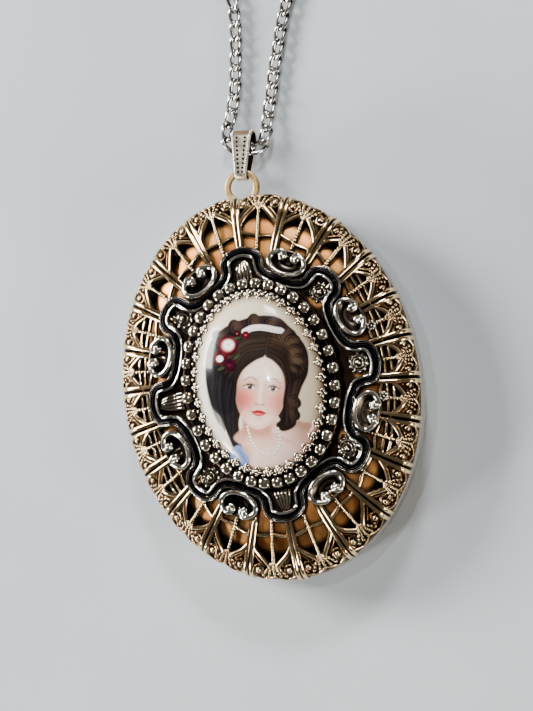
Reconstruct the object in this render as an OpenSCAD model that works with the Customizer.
// Oval portrait locket with a pierced wirework rim, a porcelain cameo in a crown
// setting, a bail and a neck chain. Millimetres. The back face lies on z = 0,
// +Y runs to the suspension ring, +Z comes out of the front.

/* [Case] */
// Half of the case width, across the short axis
case_half_width = 20.2;
// [15:0.1:30]
// Half of the case length, along the long axis
case_half_length = 26.0;
// [18:0.1:38]
// Sheet thickness of the two shells' walls
wall = 0.7;
// [0.5:0.05:1]
// Height of the back shell's edge, where the cover begins
parting_height = 4.65;
// [3:0.05:7]
// Free gap between the two shells' edges
parting_gap = 0.1;
// [0.05:0.01:0.3]

/* [Hinge] */
// Outer radius of the hinge knuckles
knuckle_radius = 0.75;
// [0.6:0.05:1.2]
// Radius of the hinge pin
pin_radius = 0.35;
// [0.25:0.01:0.6]
// Radial clearance of the pin in the cover's knuckle
pin_clearance = 0.04;
// [0.02:0.01:0.08]
// Length of the cover's middle knuckle
middle_knuckle = 3.1;
// [2:0.1:6]
// Length of each of the back's two knuckles
outer_knuckle = 2.9;
// [2:0.1:6]

/* [Rim] */
// How far the wirework stands out past the case wall
rim_overhang = 0.2;
// [0:0.05:0.6]
// Number of double bars round the rim
bar_count = 22;
// [12:2:30]
// Radius of each wire in a double bar
bar_wire = 0.27;
// [0.2:0.01:0.4]
// Distance between the two wires of a bar
bar_pair_gap = 0.84;
// [0.6:0.02:1.2]

/* [Setting] */
// Half of the bead ring's width, at the bead centres
bead_half_width = 10.1;
// [8:0.1:13]
// Half of the bead ring's length, at the bead centres
bead_half_length = 13.4;
// [10:0.1:17]
// Number of beads
bead_count = 36;
// [24:2:48]
// Radius of one bead
bead_radius = 0.8;
// [0.5:0.05:1.2]
// Half of the cameo's width
cameo_half_width = 8.8;
// [7:0.1:12]
// Half of the cameo's length
cameo_half_length = 12.2;
// [9:0.1:16]
// Height of the cameo's dome above its straight edge
cameo_dome = 3.2;
// [1:0.1:5]

/* [Scrollwork] */
// Number of lobes of the scroll frame
lobe_count = 8;
// [6:1:12]
// Half of the width of the oval that the scroll frame winds about
scroll_half_width = 10.4;
// [8:0.1:13]
// Half of the length of the oval that the scroll frame winds about
scroll_half_length = 12.85;
// [10:0.05:16]
// Width of the scroll frame's ribbon
ribbon_width = 1.4;
// [1:0.1:2]

/* [Bail and ring] */
// Outer radius of the suspension ring
ring_outer = 2.5;
// [2:0.1:4]
// Radius of the suspension ring's hole
ring_hole = 1.6;
// [1:0.1:3]
// Thickness of the suspension ring
ring_thickness = 0.7;
// [0.5:0.05:1.2]
// Width of the bail at its top
bail_top_width = 3.1;
// [2:0.05:5]
// Width of the bail at its foot
bail_foot_width = 1.5;
// [1:0.05:3]
// Distance between the bail's two loops
bail_length = 4.4;
// [3:0.1:8]
// Thickness of the bail's strap
bail_strap_thickness = 0.38;
// [0.3:0.02:0.6]

/* [Chain] */
// Width of the chain
chain_width = 1.6;
// [1.2:0.1:2.5]
// Radius of the coil's outermost turn
coil_outer = 15.2;
// [12:0.1:20]
// Radius of the coil's innermost turn
coil_inner = 8.4;
// [7:0.1:12]

/* [Hidden] */
oval_sides = 72;
hinge_x = 0.2 - case_half_width;
hinge_z = 4.7;
cover_bottom = parting_height + parting_gap;
rim_half_width = case_half_width + rim_overhang;
rim_half_length = case_half_length + rim_overhang;
knuckle_gap = 0.1;
knuckle_start = middle_knuckle / 2 + knuckle_gap;
knuckle_end = knuckle_start + outer_knuckle;
relief_radius = knuckle_radius + 0.15;
relief_length = 2 * knuckle_end + 0.7;
ring_y = 28.2;
ring_z = 2.5;
ring_band = (ring_outer + ring_hole) / 2;
// The bail leans this far clockwise of the locket's long axis, and its top droops.
bail_lean = 10.3;
bail_droop = 9.6;
bail_foot_inner = 0.78;
bail_top_inner = 1.25;
bail_foot = [ring_band * sin(bail_lean), ring_y + ring_band * cos(bail_lean), ring_z];
chain_radius = chain_width / 2;
coil_centre = [10, 71.5];
coil_height = 3.9;
clasp_x = 2.4;
clasp_z = 1.16;
clasp_radius = 2.3;

// The chain's centreline, from the coil's outer turn down the right strand, through
// the bail, up the left strand and back to the coil.
right_strand = [
    [25.0, 68.8, 1.00],
    [24.1, 65.9, 0.90],
    [21.7, 63.4, 0.85],
    [18.7, 61.2, 0.85],
    [15.6, 59.1, 0.85],
    [12.9, 56.5, 0.85],
    [10.8, 53.4, 0.85],
    [9.3, 50.1, 0.85],
    [8.1, 46.8, 0.85],
    [6.9, 43.4, 0.85],
    [6.0, 40.5, 0.85],
    [5.2, 38.1, 0.95],
    [4.7, 36.3, 1.20],
    [4.3, 34.9, 1.50],
    [3.9, 33.9, 1.70],
    [3.5, 33.5, 1.75],
    [3.0, 33.3, 1.80],
    [2.4, 33.3, 1.85],
    [1.7, 33.6, 1.85],
];
left_strand = [
    [1.1, 33.8, 1.85],
    [0.4, 34.0, 1.85],
    [-0.3, 34.3, 1.85],
    [-0.9, 34.7, 1.80],
    [-1.1, 35.2, 1.75],
    [-1.1, 36.0, 1.60],
    [-0.6, 37.3, 1.30],
    [0.0, 39.0, 1.00],
    [0.8, 41.5, 0.85],
    [1.5, 44.4, 0.85],
    [2.1, 47.8, 0.85],
    [2.7, 51.3, 0.85],
    [2.8, 54.8, 0.85],
    [2.0, 58.4, 0.85],
    [0.0, 61.6, 0.90],
    [-2.1, 64.7, 1.20],
    [-3.7, 67.8, 1.80],
    [-4.5, 71.0, 2.50],
    [-4.1, 74.1, 3.00],
];
// The two short leads in the coil's hole, in the coil's own frame.
lead_in = [
    [-2.1, -8.1, 0.85],
    [-0.4, -8.2, 0.85],
    [1.1, -7.4, 0.90],
    [2.0, -6.1, 1.00],
    [2.4, -4.2, 1.16],
];
lead_out = [
    [2.4, 4.4, 1.16],
    [2.1, 5.9, 1.50],
    [1.2, 7.3, 2.10],
    [-0.3, 8.1, 2.70],
    [-2.1, 8.1, 3.00],
];

// ---- helpers -------------------------------------------------------------------

// Points of an oval with half-axes a and b.
function oval(a, b, n = oval_sides) = [for (i = [0:n - 1]) [a * cos(360 * i / n), b * sin(360 * i / n)]];

// The direction at polar angle p from the long axis, as the oval's own parameter.
function bar_angle(p) = atan2(rim_half_length * sin(p), rim_half_width * cos(p));

// A point inset from the rim's oval at parameter t, counted from +Y towards +X.
function rim_point(t, inset, z) = [
    (rim_half_width - inset) * sin(t),
    (rim_half_length - inset) * cos(t),
    z,
];

// Height of the wirework's middle line at a distance in from the rim's edge.
function rim_height(inset) = lookup(inset, [
    [0.0, 6.2], [0.15, 7.1], [0.5, 7.7], [1.1, 8.15], [2.2, 8.55], [4.4, 9.05], [6.6, 9.4],
]);

// A solid plate with an oval outline.
module oval_plate(a, b, z0, z1) {
    translate([0, 0, z0]) linear_extrude(z1 - z0) polygon(oval(a, b));
}

// An oval band of sheet, t thick.
module oval_band(a, b, t, z0, z1) {
    difference() {
        oval_plate(a, b, z0, z1);
        oval_plate(a - t, b - t, z0 - 1, z1 + 1);
    }
}

// A ring through closed cross-sections, each one a list of the same number of points.
module ring_through(sections) {
    n = len(sections);
    m = len(sections[0]);
    points = [for (section = sections) for (p = section) p];
    faces = [
        for (i = [0:n - 1])
            for (j = [0:m - 1])
                let (k = (i + 1) % n, l = (j + 1) % m)
                    for (f = [[i * m + j, k * m + l, i * m + l], [i * m + j, k * m + j, k * m + l]])
                        f
    ];
    polyhedron(points, faces);
}

// A closed profile of [inset, z] points swept round the case's oval.
module oval_sweep(profile) {
    n = oval_sides;
    ring_through([
        for (i = [0:n - 1]) [
            for (p = profile) [
                (case_half_width - p[0]) * cos(360 * i / n),
                (case_half_length - p[0]) * sin(360 * i / n),
                p[1],
            ]
        ]
    ]);
}

function unit(v) = v / norm(v);

// The direction of a route at its point i.
function heading(route, i) = unit(route[min(i + 1, len(route) - 1)] - route[max(i - 1, 0)]);

// A tube along a route's own points.
module tube(route, radius, sides = 8) {
    n = len(route);
    points = [
        for (i = [0:n - 1])
            let (h = heading(route, i), side = unit(cross(h, [0, 0, 1])), up = cross(side, h))
                for (j = [0:sides - 1])
                    route[i] + radius * (cos(360 * j / sides) * side + sin(360 * j / sides) * up)
    ];
    walls = [
        for (i = [0:n - 2])
            for (j = [0:sides - 1])
                let (a = i * sides + j, b = i * sides + (j + 1) % sides)
                    for (f = [[a, b, b + sides], [a, b + sides, a + sides]])
                        f
    ];
    first = [for (j = [0:sides - 1]) sides - 1 - j];
    last = [for (j = [0:sides - 1]) (n - 1) * sides + j];
    polyhedron(points, concat(walls, [first, last]));
}

// A straight wire between two points, coarse because there are so many.
module wire(a, b, r) {
    hull() {
        translate(a) sphere(r * 1.15, $fn = 4);
        translate(b) sphere(r * 1.15, $fn = 4);
    }
}

// The space that the hinge needs in the shells' edges.
module hinge_relief() {
    translate([hinge_x, -relief_length / 2, hinge_z])
        rotate([-90, 0, 0]) cylinder(r = relief_radius, h = relief_length, $fn = 48);
}

// One knuckle between two places along the hinge, with its leaf.
module knuckle(y0, y1, bore, leaf_z0, leaf_z1) {
    difference() {
        union() {
            translate([hinge_x, y0, hinge_z])
                rotate([-90, 0, 0]) cylinder(r = knuckle_radius, h = y1 - y0, $fn = 48);
            translate([hinge_x - 0.2, y0, leaf_z0]) cube([0.55, y1 - y0, leaf_z1 - leaf_z0]);
        }
        translate([hinge_x, y0 - 1, hinge_z])
            rotate([-90, 0, 0]) cylinder(r = bore, h = y1 - y0 + 2, $fn = 48);
    }
}

// ---- case back -----------------------------------------------------------------

module back_shell() {
    floor_inset = 2.6;
    color("silver") difference() {
        union() {
            oval_sweep([
                [1.7, 0], [3.0, 0], [3.0, 0.7], [2.2, 0.7], [1.5, 0.95], [0.95, 1.5],
                [wall, 2.2], [wall, parting_height], [0, parting_height], [0, 2.1],
                [0.12, 1.3], [0.45, 0.65], [1.0, 0.2],
            ]);
            oval_plate(case_half_width - floor_inset, case_half_length - floor_inset, 0, wall);
        }
        hinge_relief();
    }
}

module back_rim() {
    lip_thickness = 0.6;
    color("gainsboro") difference() {
        union() {
            oval_band(case_half_width - 0.65, case_half_length - 0.65, 0.8, 3.4, 4.3);
            oval_band(case_half_width - 0.85, case_half_length - 0.85, lip_thickness, 4.2, 5.25);
        }
        hinge_relief();
    }
}

module hinge_knuckle_back_top() {
    color("silver") knuckle(knuckle_start, knuckle_end, pin_radius, 3.0, hinge_z);
}

module hinge_knuckle_back_bottom() {
    color("silver") knuckle(-knuckle_end, -knuckle_start, pin_radius, 3.0, hinge_z);
}

module hinge_pin() {
    head = 0.15;
    color("darkgray") translate([hinge_x, 0, hinge_z]) rotate([-90, 0, 0]) {
        cylinder(r = pin_radius, h = 2 * knuckle_end + head, center = true, $fn = 48);
        for (s = [-1, 1])
            translate([0, 0, s * (knuckle_end + head / 2)])
                cylinder(r = 0.55, h = head, center = true, $fn = 48);
    }
}

module suspension_ring() {
    color("tan") translate([0, ring_y, ring_z - ring_thickness / 2])
        rotate_extrude($fn = 72) translate([ring_hole, 0])
            square([ring_outer - ring_hole, ring_thickness]);
}

module back_photo_frame() {
    color("gold") oval_band(case_half_width - 1.4, case_half_length - 1.4, 2.6, 3.5, 4.1);
}

module back_window() {
    color("lightcyan", 0.4) oval_plate(case_half_width - 3.4, case_half_length - 3.4, 3.1, 3.5);
}

// ---- cover ---------------------------------------------------------------------

module cover_shell() {
    plate_inset = 7.6;
    color("peru") difference() {
        union() {
            oval_sweep([
                [0, cover_bottom], [wall, cover_bottom], [wall, 6.1], [1.0, 6.6], [1.8, 7.0],
                [3.2, 7.6], [5.0, 8.2], [6.8, 8.6], [8.0, 8.8], [8.0, 9.4], [6.8, 9.2],
                [5.0, 8.8], [3.2, 8.2], [1.6, 7.5], [0.7, 6.9], [0.2, 6.4], [0, 6.0],
            ]);
            oval_plate(case_half_width - plate_inset, case_half_length - plate_inset, 8.8, 9.4);
        }
        hinge_relief();
    }
}

module hinge_knuckle_cover() {
    half = middle_knuckle / 2;
    color("silver") knuckle(-half, half, pin_radius + pin_clearance, hinge_z, 6.0);
}

// One wire of the rim, down the dome at parameter t, shifted sideways by the offset.
module rim_wire(t, offset, r) {
    insets = [0, 0.9, 6.4];
    for (i = [0:len(insets) - 2])
        wire(
            rim_point(t + offset, insets[i], rim_height(insets[i])),
            rim_point(t + offset, insets[i + 1], rim_height(insets[i + 1])),
            r
        );
}

// The wires between two bars: legs, cross arc, centre rib and edge boss.
module rim_sector(t0, t1) {
    tm = (t0 + t1) / 2;
    boss = rim_point(tm, 1.3, rim_height(1.3));
    for (t = [t0, t1])
        wire(boss, rim_point(t, 3.2, rim_height(3.2)), 0.26);
    for (t = [t0, t1])
        wire(rim_point(tm, 5.3, rim_height(5.3)), rim_point(t, 4.3, rim_height(4.3)), 0.2);
    wire(boss, rim_point(tm, 6.4, rim_height(6.4)), 0.22);
    translate(boss) sphere(0.9, $fn = 6);
    for (t = [t0, t1])
        translate(rim_point(0.6 * tm + 0.4 * t, 0.4, 6.9)) sphere(0.7, $fn = 6);
}

module filigree_rim() {
    half_angle = bar_pair_gap / 2 / rim_half_width * 180 / PI;
    color("darkgray") union() {
        for (k = [0:bar_count - 1]) {
            t0 = bar_angle(360 * k / bar_count);
            t1 = bar_angle(360 * (k + 1) / bar_count);
            for (s = [-1, 1])
                rim_wire(t0, s * half_angle, bar_wire);
            rim_sector(t0, t1 > t0 ? t1 : t1 + 360);
        }
        rim_edge();
    }
}

// The wirework's outer band, which laps over the case wall.
module rim_edge() {
    rim_inset = -rim_overhang;
    oval_sweep([
        [0.08, 5.6], [0.08, 6.5], [rim_inset + 0.1, 6.5], [rim_inset, 6.1], [rim_inset, 5.6],
    ]);
}

// Where lobe k stands, as the oval parameter counted from +Y towards +X. The lobes
// stand closer together at the oval's sides than at its ends.
function spread(p) = p + 2.0 * sin(2 * p) + 1.2 * sin(4 * p);
function lobe_angle(k) = spread(360 * k / lobe_count);

// A place on the scrollwork's oval, the reach further out.
function scroll_place(t, reach) = [
    (scroll_half_width + reach) * sin(t),
    (scroll_half_length + reach) * cos(t),
];

// How far the scrollwork at a place droops with the domed cover.
function droop(p) = 6 * max(0, norm([p[0] / rim_half_width, p[1] / rim_half_length]) - 0.68);

// The scroll frame's centreline: lobes out over the wirework, valleys at the beads.
function scroll_angle(s) = spread(s - 3.0 * sin(lobe_count * s) + 3.0 * sin(2 * lobe_count * s));
function scroll_reach(s) = 3.3 + 1.9 * cos(lobe_count * s) + 0.1 * (1 - cos(4 * s));
function scroll_point(s) = scroll_place(scroll_angle(s), scroll_reach(s));
function scroll_side(s) =
    let (d = unit(scroll_point(s + 0.3) - scroll_point(s - 0.3))) [-d[1], d[0]];

module scroll_frame() {
    half = ribbon_width / 2;
    lip = half - 0.3;
    sides = 168;
    channel = [
        [-half, 9.15], [half, 9.15], [half, 10.7], [lip, 10.7], [lip, 10.2], [-lip, 10.2],
        [-lip, 10.7], [-half, 10.7],
    ];
    color("dimgray") ring_through([
        for (i = [0:sides - 1])
            let (s = 360 * i / sides, side = scroll_side(s)) [
                for (c = channel)
                    let (p = scroll_point(s) + c[0] * side) [p[0], p[1], c[1] - droop(p)]
            ]
    ]);
}

// A kidney-shaped scroll, open to +Y, with its two curled ends.
module volute() {
    half_width = 2.8;
    half_length = 1.9;
    rim = 0.35;
    difference() {
        union() {
            linear_extrude(1.0) polygon(oval(half_width, half_length, 36));
            translate([0, 0, 0.9]) linear_extrude(0.6) difference() {
                polygon(oval(half_width, half_length, 36));
                polygon(oval(half_width - rim, half_length - rim, 36));
            }
        }
        translate([-1.0, 0.35, -1]) cube([2.0, 3, 4]);
    }
    for (s = [-1, 1])
        translate([s * 1.1, 0.75, 1.05]) sphere(0.55, $fn = 24);
}

module scroll_volutes() {
    reach = 3.8;
    tilt = 12;
    color("gray") for (k = [0:lobe_count - 1]) {
        t = lobe_angle(k + 0.5);
        p = scroll_place(t, reach);
        facing = atan2(-sin(t) / (scroll_half_width + reach), cos(t) / (scroll_half_length + reach));
        translate([p[0], p[1], 9.3 - droop(p)]) rotate([0, 0, facing]) rotate([-tilt, 0, 0])
            volute();
    }
}

module lobe_ornaments() {
    reach = 3.2;
    color("darkgray") for (k = [0:lobe_count - 1]) {
        p = scroll_place(lobe_angle(k), reach);
        translate([p[0], p[1], 9.2]) {
            cylinder(r = 0.95, h = 0.6, $fn = 36);
            cylinder(r = 0.55, h = 0.95, $fn = 36);
        }
    }
}

module setting_cup() {
    color("dimgray") {
        oval_band(bead_half_width + 0.75, bead_half_length + 0.75, 1.5, 9.3, 11.2);
        oval_plate(bead_half_width - 0.5, bead_half_length - 0.5, 9.4, 10.4);
    }
}

// One bead, turned about its own axis.
module bead() {
    r = bead_radius;
    rotate_extrude($fn = 32) polygon([
        [0, -0.95 * r], [0.38 * r, -0.92 * r], [0.75 * r, -0.65 * r], [r, -0.15 * r],
        [r, 0.2 * r], [0.75 * r, 0.65 * r], [0.38 * r, 0.92 * r], [0, 0.95 * r],
    ]);
}

module bead_ring() {
    bead_z = 11.6;
    color("gainsboro") union() {
        oval_band(bead_half_width + 0.35, bead_half_length + 0.35, 0.7, 11.15, 11.42);
        for (i = [0:bead_count - 1]) {
            t = 360 * i / bead_count;
            translate([bead_half_width * sin(t), bead_half_length * cos(t), bead_z]) bead();
        }
    }
}

module crown_bezel() {
    claw_inset = 0.35;
    claw_z = 12.3;
    color("silver") union() {
        oval_band(cameo_half_width + 0.4, cameo_half_length + 0.4, 0.35, 10.3, 12.2);
        for (i = [0:bead_count - 1]) {
            t = 360 * (i + 0.5) / bead_count;
            x = (cameo_half_width - claw_inset) * sin(t);
            y = (cameo_half_length - claw_inset) * cos(t);
            facing = atan2(-sin(t) / cameo_half_width, cos(t) / cameo_half_length);
            translate([x, y, claw_z + 0.35]) sphere(0.34, $fn = 24);
            translate([x, y, claw_z - 0.15]) rotate([0, 0, facing])
                translate([-0.17, -0.1, 0]) cube([0.34, 0.85, 0.5]);
        }
    }
}

module porcelain_cabochon() {
    girdle = 11.75;
    n = oval_sides;
    base = 10.4;
    steps = 8;
    levels = concat(
        [[1, base], [1, girdle]],
        [
            for (k = [1:steps])
                let (a = 84 * k / steps) [cos(a), girdle + cameo_dome * sin(a) / sin(84)]
        ]
    );
    m = len(levels);
    points = [
        for (l = levels)
            for (p = oval(cameo_half_width * l[0], cameo_half_length * l[0]))
                [p[0], p[1], l[1]]
    ];
    walls = [
        for (j = [0:m - 2])
            for (i = [0:n - 1])
                let (a = j * n + i, b = j * n + (i + 1) % n)
                    for (f = [[a, a + n, b + n], [a, b + n, b]])
                        f
    ];
    bottom = [for (i = [0:n - 1]) i];
    top = [for (i = [0:n - 1]) m * n - 1 - i];
    color("linen") difference() {
        polyhedron(points, concat(walls, [bottom, top]));
        // The setting's claws bite into the dome's edge.
        crown_clearance();
    }
}

// A shallow seat round the cameo's edge, under the claws.
module crown_clearance() {
    difference() {
        oval_plate(cameo_half_width + 1, cameo_half_length + 1, 12.1, 13.2);
        oval_plate(cameo_half_width - 0.75, cameo_half_length - 0.75, 12, 13.3);
    }
}

module setting_rivet() {
    color("tan") {
        translate([0, 0, 8.5]) cylinder(r = 0.8, h = 1.7, $fn = 36);
        translate([0, 0, 8.4]) cylinder(r = 1.4, h = 0.41, $fn = 36);
    }
}

module cover_photo_frame() {
    color("gold") oval_band(case_half_width - 0.65, case_half_length - 0.65, 3.3, 5.5, 6.0);
}

module cover_window() {
    color("lightcyan", 0.4) oval_plate(case_half_width - 3.4, case_half_length - 3.4, 6.0, 6.4);
}

// ---- bail ----------------------------------------------------------------------

// The bail's side outline: two loops and the straps between them.
module bail_outline(extra) {
    hull() {
        circle(bail_foot_inner + extra, $fn = 64);
        translate([bail_length, 0]) circle(bail_top_inner + extra, $fn = 64);
    }
}

// The bail in its own frame: length along +Y from its foot loop, front to +Z.
module bail_body() {
    half_top = bail_top_width / 2;
    half_foot = bail_foot_width / 2;
    intersection() {
        rotate([0, -90, 0]) rotate([0, 0, 90]) linear_extrude(6, center = true) difference() {
            bail_outline(bail_strap_thickness);
            bail_outline(0);
        }
        translate([0, 0, -3]) linear_extrude(6) polygon([
            [-half_foot, -1.3], [half_foot, -1.3], [half_top, 6.3], [-half_top, 6.3],
        ]);
    }
}

module bail_strap() {
    color("silver") translate(bail_foot) rotate([0, 0, -bail_lean]) rotate([-bail_droop, 0, 0])
        bail_body();
}

// ---- chain and clasp -----------------------------------------------------------

module chain_run() {
    color("slategray") tube(concat(right_strand, left_strand), chain_radius);
}

module chain_coil() {
    inner = coil_inner - chain_radius;
    outer = coil_outer + chain_radius;
    soft = 0.6;
    color("slategray") translate(coil_centre) rotate_extrude($fn = 96) polygon([
        [inner + soft, 0], [outer - soft, 0], [outer, soft], [outer, coil_height - soft],
        [outer - soft, coil_height], [inner + soft, coil_height], [inner, coil_height - soft],
        [inner, soft],
    ]);
}

module in_coil() {
    translate(coil_centre) rotate([0, 0, -bail_lean]) children();
}

module chain_clasp_leads() {
    color("slategray") in_coil() {
        tube(lead_in, chain_radius);
        tube(lead_out, chain_radius);
    }
}

// A bent round bar of the clasp's circle between two angles.
module clasp_arc(from, to, r) {
    rotate([0, 0, from]) rotate_extrude(angle = to - from, $fn = 64)
        translate([clasp_radius, 0]) circle(r, $fn = 32);
}

module clasp_frame() {
    in_coil() translate([clasp_x, 0, clasp_z]) children();
}

module clasp_ring_tube() {
    color("silver") clasp_frame() difference() {
        clasp_arc(65, 390, 0.6);
        clasp_arc(-160, 40, 0.42);
        clasp_arc(55, 74, 0.42);
        rotate([0, 0, -46]) rotate_extrude(angle = 60, $fn = 64)
            translate([clasp_radius, -0.24]) square([1, 0.48]);
    }
}

module clasp_bolt() {
    thumb_angle = 5;
    color("gainsboro") clasp_frame() union() {
        clasp_arc(-20, 70, 0.36);
        rotate([0, 0, thumb_angle]) translate([clasp_radius, 0, 0]) rotate([0, 90, 0])
            cylinder(r = 0.18, h = 1.1, $fn = 24);
    }
}

module clasp_spring() {
    color("darkgray") clasp_frame() difference() {
        clasp_arc(-150, -66, 0.36);
        clasp_arc(-151, -65, 0.24);
    }
}

module clasp_eye() {
    color("silver") clasp_frame() translate([0, 3.5, 0])
        rotate_extrude($fn = 48) translate([0.8, 0]) circle(0.22, $fn = 24);
}

module clasp_jump_ring() {
    tilt = 36;
    color("silver") clasp_frame() translate([0, -2.5, 0]) rotate([0, tilt, 0])
        rotate_extrude($fn = 48) translate([1.6, 0]) circle(0.2, $fn = 24);
}

back_shell();
back_rim();
hinge_knuckle_back_top();
hinge_knuckle_back_bottom();
hinge_pin();
suspension_ring();
back_photo_frame();
back_window();
cover_shell();
hinge_knuckle_cover();
filigree_rim();
lobe_ornaments();
scroll_frame();
scroll_volutes();
setting_cup();
bead_ring();
crown_bezel();
porcelain_cabochon();
setting_rivet();
cover_photo_frame();
cover_window();
bail_strap();
chain_run();
chain_coil();
chain_clasp_leads();
clasp_ring_tube();
clasp_bolt();
clasp_spring();
clasp_eye();
clasp_jump_ring();
